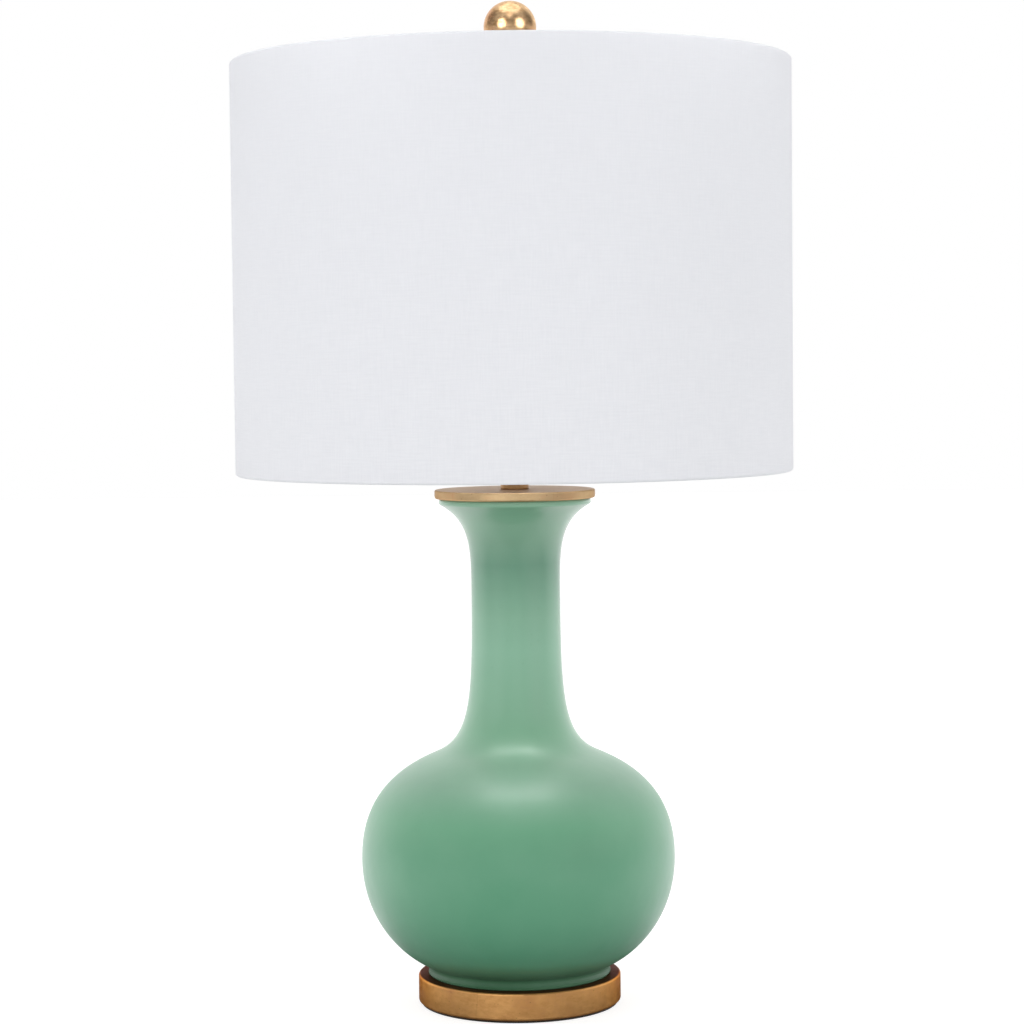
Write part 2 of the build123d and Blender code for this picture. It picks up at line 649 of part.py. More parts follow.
# Drum shade: linen rolled over a wire ring at each edge, on a stiff liner
wall_inner = SHADE_RADIUS - FABRIC_THICKNESS
liner_outer = wall_inner - TIGHT_CLEARANCE
liner_inner = liner_outer - LINER_THICKNESS
ring_radius = liner_inner - TIGHT_CLEARANCE - SHADE_WIRE_RADIUS
ring_inset = FABRIC_THICKNESS + TIGHT_CLEARANCE + SHADE_WIRE_RADIUS
wall_line = SHADE_RADIUS - FABRIC_THICKNESS / 2
hem_line = ring_radius - SHADE_WIRE_RADIUS - TIGHT_CLEARANCE - FABRIC_THICKNESS / 2
bottom_line = SHADE_BOTTOM + FABRIC_THICKNESS / 2
top_line = SHADE_TOP - FABRIC_THICKNESS / 2
arm_end_height = SHADE_TOP - ring_inset - SHADE_WIRE_RADIUS - TIGHT_CLEARANCE - ARM_RADIUS
notch_width = 2 * (ARM_RADIUS + LOOSE_CLEARANCE)
notch_top = arm_end_height + ARM_RADIUS + LOOSE_CLEARANCE
notch_height = notch_top - (SHADE_TOP - HEM_DEPTH)
with BuildPart() as shade_fabric:
    with BuildSketch(upright(0)):
        with BuildLine():
            FilletPolyline(
                (hem_line, SHADE_BOTTOM + HEM_DEPTH),
                (hem_line, bottom_line),
                (wall_line, bottom_line),
                (wall_line, top_line),
                (hem_line, top_line),
                (hem_line, SHADE_TOP - HEM_DEPTH),
                radius=HEM_ROLL,
            )
        trace(line_width=FABRIC_THICKNESS)
    revolve(axis=Axis.Z)
    with Locations((0, 0, notch_top - notch_height)):
        with PolarLocations(hem_line, ARM_COUNT, FIRST_ARM_ANGLE):
            Box(
                3 * FABRIC_THICKNESS,
                notch_width,
                2 * notch_height,
                mode=Mode.SUBTRACT,
            )

with BuildPart() as shade_liner:
    with BuildSketch(Plane.XY.offset(SHADE_BOTTOM + LINER_INSET)):
        Circle(liner_outer)
        Circle(liner_inner, mode=Mode.SUBTRACT)
    extrude(amount=SHADE_HEIGHT - 2 * LINER_INSET)

rings = {}
for name, height in (
    ("shade_top_ring", SHADE_TOP - ring_inset),
    ("shade_bottom_ring", SHADE_BOTTOM + ring_inset),
):
    with BuildPart() as ring:
        with Locations((0, 0, height)):
            Torus(ring_radius, SHADE_WIRE_RADIUS)
    rings[name] = ring

# Spider: a washer on the harp's stud and three arms welded under the top ring
arm_start = Vector(SPIDER_WASHER_RADIUS - ARM_OVERLAP, 0, SPIDER_TOP - SPIDER_WASHER_THICKNESS / 2)
arm_end = Vector(ring_radius, 0, arm_end_height)
with BuildPart() as shade_spider:
    with BuildSketch(Plane.XY.offset(HARP_SEAT)):
        Circle(SPIDER_WASHER_RADIUS)
    extrude(amount=SPIDER_WASHER_THICKNESS)
    for arm in range(ARM_COUNT):
        angle = FIRST_ARM_ANGLE + arm * 360 / ARM_COUNT
        start = arm_start.rotate(Axis.Z, angle)
        run = arm_end.rotate(Axis.Z, angle) - start
        with BuildSketch(Plane(origin=start, z_dir=run)):
            Circle(ARM_RADIUS)
        extrude(amount=run.length)
    with Locations((0, 0, SPIDER_TOP)):
        Hole(SPIDER_HOLE_RADIUS)

# Finial: a turned base that screws onto the stud, and a leafed ball seated on it
with BuildPart() as finial_base:
    with BuildSketch(upright(SPIDER_TOP)):
        with BuildLine():
            bore_top = STUD_HEIGHT + FINIAL_BORE_SPARE
            bore_radius = STUD_RADIUS + THREAD_CLEARANCE
            waist_height = (FINIAL_FLANGE_HEIGHT + FINIAL_BASE_HEIGHT) / 2
            flange = Polyline(
                (0, FINIAL_BASE_HEIGHT),
                (0, bore_top),
                (bore_radius, bore_top),
                (bore_radius, 0),
                (FINIAL_FLANGE_RADIUS - FINIAL_ROUND, 0),
                (FINIAL_FLANGE_RADIUS, FINIAL_ROUND),
                (FINIAL_FLANGE_RADIUS, FINIAL_FLANGE_HEIGHT - FINIAL_ROUND),
                (FINIAL_FLANGE_RADIUS - FINIAL_ROUND, FINIAL_FLANGE_HEIGHT),
            )
            cove = ThreePointArc(
                flange @ 1, (FINIAL_NECK_RADIUS, waist_height), (FINIAL_SEAT_RADIUS, FINIAL_BASE_HEIGHT)
            )
            Line(cove @ 1, flange @ 0)
        make_face()
    revolve(axis=Axis.Z)

ball_center = FINIAL_TOP_OF_BASE + (FINIAL_BALL_RADIUS**2 - FINIAL_SEAT_RADIUS**2) ** 0.5
with BuildPart() as finial_ball:
    with Locations((0, 0, ball_center)):
        Sphere(FINIAL_BALL_RADIUS)
    split(bisect_by=Plane.XY.offset(FINIAL_TOP_OF_BASE))

pieces = {
    "felt_pad": felt_pad,
    "base_plinth": base_plinth,
    "cord_bushing": cord_bushing,
    "base_washer": base_washer,
    "base_lock_washer": base_lock_washer,
    "base_nut": base_nut,
    "lamp_pipe": lamp_pipe,
    "vase_body": vase_body,
    "vase_cap": vase_cap,
    "neck_collar": neck_collar,
    "harp_saddle": harp_saddle,
    "harp_wire": harp_wire,
    "harp_stud": harp_stud,
    **sleeves,
    "socket_cap": socket_cap,
    "socket_shell": socket_shell,
    "socket_insulator": socket_insulator,
    "socket_body": socket_body,
    "terminal_screws": terminal_screws,
    "socket_screw_shell": socket_screw_shell,
    "socket_contact": socket_contact,
    "switch_stem": switch_stem,
    "switch_knob": switch_knob,
    "bulb_contact": bulb_contact,
    "bulb_insulator": bulb_insulator,
    "bulb_base": bulb_base,
    "bulb_housing": bulb_housing,
    "bulb_board": bulb_board,
    "bulb_globe": bulb_globe,
    "shade_fabric": shade_fabric,
    "shade_liner": shade_liner,
    **rings,
    "shade_spider": shade_spider,
    "finial_base": finial_base,
    "finial_ball": finial_ball,
}
os.makedirs("parts", exist_ok=True)
for name, piece in pieces.items():
    piece.part.label = name
    export_step(piece.part, f"parts/{name}.step")
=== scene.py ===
from math import atan2, cos, hypot, pi, radians, sin

import bmesh
import bpy
from mathutils import Euler, Matrix, Vector


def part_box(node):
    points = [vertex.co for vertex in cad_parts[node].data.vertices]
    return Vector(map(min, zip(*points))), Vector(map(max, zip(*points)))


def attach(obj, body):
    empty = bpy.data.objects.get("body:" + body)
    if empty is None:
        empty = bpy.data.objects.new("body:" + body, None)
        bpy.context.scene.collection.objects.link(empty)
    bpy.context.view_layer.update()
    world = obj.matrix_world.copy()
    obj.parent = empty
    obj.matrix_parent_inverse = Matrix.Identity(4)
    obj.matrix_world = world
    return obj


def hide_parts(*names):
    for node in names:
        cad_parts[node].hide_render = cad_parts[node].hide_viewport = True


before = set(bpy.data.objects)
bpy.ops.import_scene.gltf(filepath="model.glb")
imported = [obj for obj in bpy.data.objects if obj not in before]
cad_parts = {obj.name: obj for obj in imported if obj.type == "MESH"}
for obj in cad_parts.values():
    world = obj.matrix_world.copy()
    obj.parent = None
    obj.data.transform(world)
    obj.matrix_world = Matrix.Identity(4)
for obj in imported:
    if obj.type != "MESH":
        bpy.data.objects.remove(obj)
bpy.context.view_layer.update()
bpy.ops.object.select_all(action="DESELECT")

# Felt pad: a disc of dense brown wool felt, die cut and glued under the plinth so that the lamp
# doesn't mark the table. Its cut edge is a little ragged.


def choose(piece, kind, wanted):
    """In edit mode, selects only the VERT, EDGE or FACE parts whose corners are all at wanted places."""
    bpy.ops.mesh.select_mode(type=kind)
    bpy.ops.mesh.select_all(action="DESELECT")
    shape = bmesh.from_edit_mesh(piece.data)
    parts = {"VERT": shape.verts, "EDGE": shape.edges, "FACE": shape.faces}[kind]
    for part in parts:
        corners = [part] if kind == "VERT" else part.verts
        part.select_set(all(wanted(corner.co) for corner in corners))
    bmesh.update_edit_mesh(piece.data)


def add_node(tree, kind, inputs=None, **settings):
    """A new node in a material, group or world, with its settings and its unlinked inputs."""
    node = tree.nodes.new(kind)
    for name, value in settings.items():
        setattr(node, name, value)
    for name, value in (inputs or {}).items():
        node.inputs[name].default_value = value
    return node


def feed(tree, socket, value):
    """Links another node's output to a socket, or gives the socket a fixed value."""
    if isinstance(value, bpy.types.NodeSocket):
        tree.links.new(value, socket)
    else:
        socket.default_value = value


def spread(tree, value, low, high, start=0.3, end=0.7):
    """A value from low to high as another goes from start to end."""
    reach = add_node(
        tree, "ShaderNodeMapRange", {"From Min": start, "From Max": end, "To Min": low, "To Max": high}
    )
    tree.links.new(value, reach.inputs["Value"])
    return reach.outputs["Result"]


def reckon(tree, operation, *values):
    """A sum, a product or the like. Each value is a number or another node's output."""
    node = add_node(tree, "ShaderNodeMath", operation=operation)
    for socket, value in zip(node.inputs, values):
        feed(tree, socket, value)
    return node.outputs[0]


def mix_colors(tree, mask, low, high):
    """A colour between two others by a mask. Each colour is three numbers or another node's output."""
    mix = add_node(tree, "ShaderNodeMix", data_type="RGBA")
    tree.links.new(mask, mix.inputs["Factor"])
    for socket, color in ((mix.inputs[6], low), (mix.inputs[7], high)):
        feed(tree, socket, (*color, 1.0) if isinstance(color, tuple) else color)
    return mix.outputs[2]


def new_group(name, inputs, outputs):
    """An empty shader node group with these sockets; gives its tree, input node and output node."""
    tree = bpy.data.node_groups.new(name, "ShaderNodeTree")
    for socket, kind in inputs.items():
        tree.interface.new_socket(socket, in_out="INPUT", socket_type=kind)
    for socket, kind in outputs.items():
        tree.interface.new_socket(socket, in_out="OUTPUT", socket_type=kind)
    return tree, tree.nodes.new("NodeGroupInput"), tree.nodes.new("NodeGroupOutput")


patina, patina_in, patina_out = new_group(
    "patina",
    {
        "Vector": "NodeSocketVector",
        "Cloud Scale": "NodeSocketFloat",
        "Speck Scale": "NodeSocketFloat",
        "Grain Scale": "NodeSocketFloat",
    },
    {"Clouds": "NodeSocketFloat", "Specks": "NodeSocketFloat", "Grain": "NodeSocketFloat"},
)
clouds = add_node(patina, "ShaderNodeTexNoise", {"Detail": 4.0, "Roughness": 0.55})
cells = add_node(patina, "ShaderNodeTexVoronoi", {"Randomness": 1.0})
grain = add_node(patina, "ShaderNodeTexNoise", {"Detail": 5.0, "Roughness": 0.65})
for texture, scale in ((clouds, "Cloud Scale"), (cells, "Speck Scale"), (grain, "Grain Scale")):
    patina.links.new(patina_in.outputs["Vector"], texture.inputs["Vector"])
    patina.links.new(patina_in.outputs[scale], texture.inputs["Scale"])
cell_pick = add_node(patina, "ShaderNodeSeparateColor")
patina.links.new(cells.outputs["Color"], cell_pick.inputs["Color"])
few = spread(patina, cell_pick.outputs["Red"], 0.0, 1.0, 0.80, 0.84)
dot = spread(patina, cells.outputs["Distance"], 1.0, 0.0, 0.08, 0.24)
for result, value in (
    ("Clouds", spread(patina, clouds.outputs["Fac"], 0.0, 1.0, 0.32, 0.68)),
    ("Specks", reckon(patina, "MULTIPLY", few, dot)),
    ("Grain", grain.outputs["Fac"]),
):
    patina.links.new(value, patina_out.inputs[result])


def new_finish(name, surface):
    """A material whose Principled surface has these fixed values; gives it, its tree and that surface."""
    finish = bpy.data.materials.new(name)
    finish.use_nodes = True
    shader = finish.node_tree.nodes["Principled BSDF"]
    for socket, value in surface.items():
        shader.inputs[socket].default_value = value
    return finish, finish.node_tree, shader


def add_patina(tree, cloud_scale, speck_scale, grain_scale):
    """The patina group on the piece's own coordinates, with these scales; gives both nodes."""
    place = add_node(tree, "ShaderNodeTexCoord")
    group = add_node(tree, "ShaderNodeGroup", node_tree=patina)
    for socket, scale in (("Cloud", cloud_scale), ("Speck", speck_scale), ("Grain", grain_scale)):
        group.inputs[socket + " Scale"].default_value = scale
    tree.links.new(place.outputs["Object"], group.inputs["Vector"])
    return place, group


def raise_grain(tree, shader, height, depth):
    """A bump of this depth in metres on the surface."""
    bump = add_node(tree, "ShaderNodeBump", {"Strength": 1.0, "Distance": depth})
    tree.links.new(height, bump.inputs["Height"])
    tree.links.new(bump.outputs["Normal"], shader.inputs["Normal"])


def dress(finish, *names):
    """Puts a finish on every slot of the named nodes, or of a new piece."""
    for name in names:
        slots = bpy.data.objects[name].material_slots
        if not slots:
            bpy.data.objects[name].data.materials.append(finish)
        for slot in slots:
            slot.material = finish


felt_low, felt_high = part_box("felt_pad")
felt_radius = felt_high.x
felt_thickness = felt_high.z - felt_low.z
felt_round = 0.0003
felt_flat = 0.0002
felt_ragged = 0.00015
bpy.ops.mesh.primitive_circle_add(vertices=180, radius=felt_radius, fill_type="NGON", location=(0, 0, 0))
felt_disc = bpy.context.object
felt_disc.name = "felt_disc"
bpy.ops.object.mode_set(mode="EDIT")
bpy.ops.mesh.extrude_region_move(TRANSFORM_OT_translate={"value": (0, 0, felt_thickness)})
bpy.ops.mesh.select_all(action="SELECT")
bpy.ops.mesh.normals_make_consistent(inside=False)
choose(felt_disc, "EDGE", lambda at: at.z > felt_thickness / 2)
bpy.ops.mesh.bevel(offset=felt_round, segments=2)
choose(felt_disc, "EDGE", lambda at: at.z < felt_thickness / 4)
bpy.ops.mesh.bevel(offset=felt_round, segments=2)
choose(felt_disc, "VERT", lambda at: felt_flat < at.z < felt_thickness - felt_flat)
bpy.ops.transform.vertex_random(offset=felt_ragged, seed=4)
bpy.ops.object.mode_set(mode="OBJECT")
bpy.ops.object.shade_smooth_by_angle(angle=radians(40))
felt_brown, tree, wool = new_finish("felt_brown", {"Roughness": 0.95, "Sheen Weight": 0.25})
_, fibres = add_patina(tree, cloud_scale=220.0, speck_scale=900.0, grain_scale=2600.0)
wool_color = mix_colors(tree, fibres.outputs["Grain"], (0.012, 0.008, 0.006), (0.040, 0.028, 0.020))
tree.links.new(wool_color, wool.inputs["Base Color"])
raise_grain(tree, wool, fibres.outputs["Grain"], depth=0.0004)
dress(felt_brown, "felt_disc")
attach(felt_disc, "lamp")
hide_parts("felt_pad")

# Plinth: a disc turned from hardwood and water gilded with antique gold leaf. The leaf is laid in
# squares over red clay, rubbed through along the edges, spattered and sealed to a satin sheen.
red_clay = (0.420, 0.165, 0.070)
seam_brown = (0.360, 0.170, 0.065)
spatter_brown = (0.120, 0.060, 0.030)
leaf_width = 0.074
leaf_height = 0.071
leaf_lap = 0.0009
worn_width = 0.0026


def split(tree, vector):
    """The X, Y and Z of a vector, by name."""
    node = add_node(tree, "ShaderNodeSeparateXYZ")
    tree.links.new(vector, node.inputs["Vector"])
    return node.outputs


def leafed(name, dull, bright, levels, seam_turn, wear, metal, rough, painted_top_share, painted_top_color, tint):
    """Rubbed gold leaf, streaked from a dull gold to a bright one.

    levels are the heights of the worn edges, seam_turn turns the squares of leaf, in degrees, and wear
    is how far the clay shows elsewhere. metal is how metallic the leaf is and rough its least and most
    roughness. The last share and colour before tint are painted light, laid on faces that look up: dark
    for a painted shade, pale for a painted reflection. tint colours the gloss where it is seen at a low
    angle.
    """
    finish, tree, surface = new_finish(name, {"Specular Tint": (*tint, 1.0)})
    place, rub = add_patina(tree, cloud_scale=34.0, speck_scale=420.0, grain_scale=900.0)
    streak_map = add_node(tree, "ShaderNodeMapping", {"Scale": (150.0, 150.0, 300.0)})
    streaks = add_node(tree, "ShaderNodeTexNoise", {"Scale": 1.0, "Detail": 6.0, "Roughness": 0.7})
    tree.links.new(place.outputs["Object"], streak_map.inputs["Vector"])
    tree.links.new(streak_map.outputs["Vector"], streaks.inputs["Vector"])

    laid = add_node(tree, "ShaderNodeMapping", {"Rotation": (0.0, 0.0, radians(seam_turn))})
    drift = add_node(tree, "ShaderNodeTexNoise", {"Scale": 45.0, "Detail": 2.0})
    shifted = add_node(tree, "ShaderNodeMix", {"Factor": 0.012}, data_type="VECTOR")
    squares = add_node(
        tree,
        "ShaderNodeTexBrick",
        {
            "Scale": 1.0,
            "Mortar Size": leaf_lap,
            "Mortar Smooth": 0.6,
            "Brick Width": leaf_width,
            "Row Height": leaf_height,
        },
    )
    tree.links.new(place.outputs["Object"], laid.inputs["Vector"])
    tree.links.new(place.outputs["Object"], drift.inputs["Vector"])
    tree.links.new(laid.outputs["Vector"], shifted.inputs[4])
    tree.links.new(drift.outputs["Color"], shifted.inputs[5])
    tree.links.new(shifted.outputs[1], squares.inputs["Vector"])

    height = split(tree, place.outputs["Object"])["Z"]
    edge = 0.0
    for level in levels:
        gap = reckon(tree, "ABSOLUTE", reckon(tree, "SUBTRACT", height, level))
        near = spread(tree, gap, 1.0, 0.0, 0.0, worn_width)
        edge = reckon(tree, "MAXIMUM", edge, near)
    ragged = reckon(tree, "MULTIPLY_ADD", edge, rub.outputs["Grain"], -0.62)
    rubbed_edge = spread(tree, ragged, 0.0, 1.0, -0.2, 0.1)
    worn_field = reckon(tree, "MULTIPLY", rub.outputs["Clouds"], streaks.outputs["Fac"])
    rubbed_field = spread(tree, worn_field, 0.0, wear, 0.28, 0.62)
    bare = reckon(tree, "MAXIMUM", rubbed_edge, rubbed_field)

    gold = mix_colors(tree, spread(tree, streaks.outputs["Fac"], 0.0, 1.0), dull, bright)
    gold = mix_colors(tree, bare, gold, red_clay)
    seam = reckon(tree, "MULTIPLY", squares.outputs["Fac"], 0.12)
    gold = mix_colors(tree, seam, gold, seam_brown)
    spatter = reckon(tree, "MULTIPLY", rub.outputs["Specks"], 0.45)
    gold = mix_colors(tree, spatter, gold, spatter_brown)
    # Painted light on the faces that look up: a share of a set colour, for a painted shade or a painted
    # reflection.
    facing = add_node(tree, "ShaderNodeNewGeometry")
    painted_top = spread(tree, split(tree, facing.outputs["Normal"])["Z"], 0.0, painted_top_share, 0.75, 0.98)
    gold = mix_colors(tree, painted_top, gold, painted_top_color)
    tree.links.new(gold, surface.inputs["Base Color"])
    tree.links.new(spread(tree, bare, metal, 0.5 * metal, 0.0, 1.0), surface.inputs["Metallic"])
    tree.links.new(spread(tree, streaks.outputs["Fac"], *rough), surface.inputs["Roughness"])
    raise_grain(tree, surface, streaks.outputs["Fac"], depth=0.00006)
    return finish


plinth_low, plinth_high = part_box("base_plinth")
leafed_plinth = leafed(
    "leafed_plinth",
    dull=(0.620, 0.304, 0.103),
    bright=(0.800, 0.438, 0.166),
    levels=(plinth_low.z, plinth_high.z),
    seam_turn=20.0,
    wear=0.75,
    metal=0.95,
    rough=(0.36, 0.50),
    # Painted shade: the top faces are darkened for the shade under the vase and its dark reflection
    # there.
    painted_top_share=0.82,
    painted_top_color=(0.090, 0.050, 0.022),
    tint=(0.30, 0.10, 0.05),
)
dress(leafed_plinth, "base_plinth")

# Cord bushing: a flanged sleeve of dark moulded nylon, pressed into the back of the plinth to keep
# the cord off the wood.


def blend(tree, share, low, high):
    """A value between two others by a share. Each is a number or another node's output."""
    mix = add_node(tree, "ShaderNodeMix", data_type="FLOAT")
    for socket, value in ((mix.inputs[0], share), (mix.inputs[2], low), (mix.inputs[3], high)):
        feed(tree, socket, value)
    return mix.outputs[0]


def moulded(name, dark, light, rough, depth, surface=None):
    """A moulded or painted finish: a little cloudy, finely grained, uneven in its gloss."""
    finish, tree, shader = new_finish(name, surface or {})
    _, skin = add_patina(tree, cloud_scale=70.0, speck_scale=800.0, grain_scale=1900.0)
    clouded = blend(tree, 0.5, skin.outputs["Clouds"], skin.outputs["Grain"])
    tree.links.new(mix_colors(tree, clouded, dark, light), shader.inputs["Base Color"])
    tree.links.new(spread(tree, skin.outputs["Grain"], *rough), shader.inputs["Roughness"])
    raise_grain(tree, shader, skin.outputs["Grain"], depth)
    return finish


nylon = moulded("nylon", (0.010, 0.009, 0.008), (0.030, 0.027, 0.024), rough=(0.38, 0.55), depth=0.00006)
dress(nylon, "cord_bushing")

# Pipe, nut and washers: zinc-plated steel. The pipe is threaded all along, runs up through plinth,
# vase and cap, and the nut under the plinth draws the stack together.


def turned(name, dark, light, rough, pitch, depth):
    """Metal with lines round the lamp's axis, from a lathe, a spinning tool or a thread of this pitch."""
    finish, tree, shader = new_finish(name, {"Metallic": 1.0})
    place, skin = add_patina(tree, cloud_scale=48.0, speck_scale=700.0, grain_scale=1500.0)
    lines = add_node(
        tree, "ShaderNodeTexNoise", {"Scale": 1.0 / pitch, "Detail": 2.0}, noise_dimensions="1D"
    )
    tree.links.new(split(tree, place.outputs["Object"])["Z"], lines.inputs["W"])
    dimmed = reckon(tree, "MULTIPLY", skin.outputs["Clouds"], skin.outputs["Grain"])
    tarnish = spread(tree, dimmed, 0.0, 1.0, 0.05, 0.6)
    tree.links.new(mix_colors(tree, tarnish, light, dark), shader.inputs["Base Color"])
    tree.links.new(spread(tree, lines.outputs["Fac"], *rough), shader.inputs["Roughness"])
    raise_grain(tree, shader, lines.outputs["Fac"], depth)
    return finish


zinc = turned(
    "zinc", (0.34, 0.33, 0.31), (0.58, 0.57, 0.55), rough=(0.24, 0.42), pitch=0.0009, depth=0.0001
)
dress(zinc, "lamp_pipe", "base_washer", "base_lock_washer", "base_nut")

# Vase: a stoneware bottle thrown in one piece and dipped in a celadon glaze, which is glassy and a
# little cloudy. Its colour changes with height, partly as glaze that runs thin on the lip and pools at
# the foot ring, and partly as painted light: painted shade down the lower bulb and foot, painted
# highlights and reflections on the shoulder and neck, and a painted dark band where the neck starts to
# flare.
vase_low, vase_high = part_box("vase_body")
vase_seat = vase_low.z
vase_height = vase_high.z - vase_low.z
vase_wall = 0.006
foot_radius = 0.0630
recess_radius = 0.0545
recess_height = 0.0040
bore_radius = 0.0080
inner_floor = 0.0124
bulb_radius = vase_high.x
bulb_height = 0.0812
neck_radius = 0.0305
neck_height = 0.2652
mouth_radius = 0.0380
mouth_depth = 0.0055
vase_stations = (
    # radius and height, then how far and at what angle the curve leaves it backwards and forwards
    (foot_radius, 0.0069, 0.0022, -137.2, 0.0216, 22.7),
    (bulb_radius, bulb_height, 0.0412, -90.0, 0.0538, 90.0),
    (0.0540, 0.1539, 0.0136, -27.1, 0.0254, 152.9),
    (neck_radius, neck_height, 0.0720, -90.0, 0.0299, 90.0),
    (0.0515, 0.3242, 0.0233, -151.1, 0.0006, 28.9),
    (0.0523, 0.3257, 0.0006, -90.0, 0.0009, 90.0),
    (0.0511, vase_height, 0.0008, 0.0, 0.002, 180.0),
    (mouth_radius, vase_height, 0.002, 0.0, 0.002, -90.0),
    (mouth_radius, vase_height - mouth_depth, 0.002, 90.0, 0.008, -110.0),
    (neck_radius - vase_wall, neck_height, 0.0230, 90.0, 0.0660, -90.0),
    (0.0513, 0.1485, 0.0290, 152.9, 0.0126, -27.1),
    (bulb_radius - vase_wall, bulb_height, 0.0480, 90.0, 0.0370, -90.0),
    (0.0605, inner_floor, 0.0190, 22.7, 0.004, -180.0),
    (bore_radius, inner_floor, 0.004, 0.0, 0.002, -90.0),
    (bore_radius, recess_height, 0.002, 90.0, 0.004, 0.0),
    (recess_radius, recess_height, 0.004, 180.0, 0.001, -90.0),
    (recess_radius, 0.0000, 0.001, 90.0, 0.001, 0.0),
    (0.0616, 0.0000, 0.001, 180.0, 0.0008, 0.0),
    (foot_radius, 0.0014, 0.0008, -90.0, 0.0022, 137.2),
)
bpy.ops.curve.primitive_bezier_curve_add(location=(0, 0, 0))
vase = bpy.context.object
vase.name = "vase"
outline = vase.data.splines[0]
outline.bezier_points.add(len(vase_stations) - 2)
outline.use_cyclic_u = True
vase.data.resolution_u = 24
for point, station in zip(outline.bezier_points, vase_stations):
    radius, height, back, back_angle, ahead, ahead_angle = station
    point.handle_left_type = point.handle_right_type = "FREE"
    height += vase_seat
    point.co = (radius, 0, height)
    point.handle_left = (
        radius + back * cos(radians(back_angle)), 0, height + back * sin(radians(back_angle))
    )
    point.handle_right = (
        radius + ahead * cos(radians(ahead_angle)), 0, height + ahead * sin(radians(ahead_angle))
    )
bpy.ops.object.convert(target="MESH")
bpy.ops.object.mode_set(mode="EDIT")
bpy.ops.mesh.select_all(action="SELECT")
bpy.ops.mesh.remove_doubles(threshold=0.00002)
bpy.ops.mesh.select_all(action="SELECT")
bpy.ops.mesh.spin(steps=180, angle=2 * pi, center=(0, 0, 0), axis=(0, 0, 1))
bpy.ops.mesh.select_all(action="SELECT")
bpy.ops.mesh.remove_doubles(threshold=0.00001)
bpy.ops.mesh.normals_make_consistent(inside=False)
bpy.ops.object.mode_set(mode="OBJECT")
bpy.ops.object.shade_smooth_by_angle(angle=radians(40))

celadon, tree, glaze = new_finish("celadon", {"IOR": 1.7, "Coat Roughness": 0.05})
place, dip = add_patina(tree, cloud_scale=16.0, speck_scale=190.0, grain_scale=1200.0)
level = split(tree, place.outputs["Object"])["Z"]
glaze_and_painted_light_by_height = (
    # height and colour: deep on the bulb, pooled on the foot and thin on the lip, with painted light in
    # it:
    # painted shade down the lower bulb and foot, painted highlights on the shoulder and neck, and a
    # painted dark band where the neck starts to flare
    (0.024, (0.024, 0.105, 0.044)),
    (0.032, (0.040, 0.148, 0.068)),
    (0.042, (0.064, 0.275, 0.150)),
    (0.110, (0.086, 0.298, 0.167)),
    (0.135, (0.104, 0.314, 0.178)),
    (0.160, (0.132, 0.288, 0.188)),
    (0.173, (0.168, 0.336, 0.225)),
    (0.190, (0.156, 0.344, 0.217)),
    (0.245, (0.188, 0.386, 0.264)),
    (0.268, (0.170, 0.350, 0.238)),
    (0.304, (0.072, 0.208, 0.130)),
    (0.320, (0.122, 0.262, 0.172)),
    (0.346, (0.178, 0.362, 0.238)),
)
glaze_and_painted_light_ramp = add_node(tree, "ShaderNodeValToRGB")
stops = glaze_and_painted_light_ramp.color_ramp.elements
ramp_low, ramp_high = glaze_and_painted_light_by_height[0][0], glaze_and_painted_light_by_height[-1][0]
for index, (height, color) in enumerate(glaze_and_painted_light_by_height):
    share = (height - ramp_low) / (ramp_high - ramp_low)
    if 0 < share < 1:
        stops.new(share)
    stops[index].position = share
    stops[index].color = (*color, 1.0)
height_share = spread(tree, level, 0.0, 1.0, ramp_low, ramp_high)
tree.links.new(height_share, glaze_and_painted_light_ramp.inputs["Fac"])
cloudy = reckon(tree, "MULTIPLY", dip.outputs["Clouds"], 0.12)
glaze_color = mix_colors(tree, cloudy, glaze_and_painted_light_ramp.outputs["Color"], (0.260, 0.470, 0.330))
fleck = reckon(tree, "MULTIPLY", dip.outputs["Specks"], 0.05)
glaze_color = mix_colors(tree, fleck, glaze_color, (0.050, 0.150, 0.080))
tree.links.new(glaze_color, glaze.inputs["Base Color"])
satin = reckon(
    tree,
    "MULTIPLY",
    spread(tree, level, 0.30, 0.42, 0.115, 0.140),
    spread(tree, level, 1.0, 0.68, 0.168, 0.195),
)
rough = reckon(tree, "MAXIMUM", satin, spread(tree, dip.outputs["Clouds"], 0.29, 0.34, 0.0, 1.0))
rough = reckon(tree, "MAXIMUM", rough, spread(tree, level, 0.75, 0.28, 0.034, 0.046))
tree.links.new(rough, glaze.inputs["Roughness"])
turned_away = add_node(tree, "ShaderNodeLayerWeight", {"Blend": 0.5})
glassy_foot = reckon(
    tree,
    "MULTIPLY",
    spread(tree, level, 0.4, 0.0, 0.045, 0.075),
    spread(tree, turned_away.outputs["Facing"], 1.0, 0.0, 0.40, 0.85),
)
glassy_flare = spread(tree, level, 0.0, 0.25, 0.270, 0.310)
tree.links.new(reckon(tree, "MAXIMUM", glassy_foot, glassy_flare), glaze.inputs["Coat Weight"])
ripple = add_node(tree, "ShaderNodeTexNoise", {"Scale": 42.0, "Detail": 2.0})
tree.links.new(place.outputs["Object"], ripple.inputs["Vector"])
raise_grain(tree, glaze, ripple.outputs["Fac"], depth=0.00035)
dress(celadon, "vase")
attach(vase, "lamp")
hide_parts("vase_body")

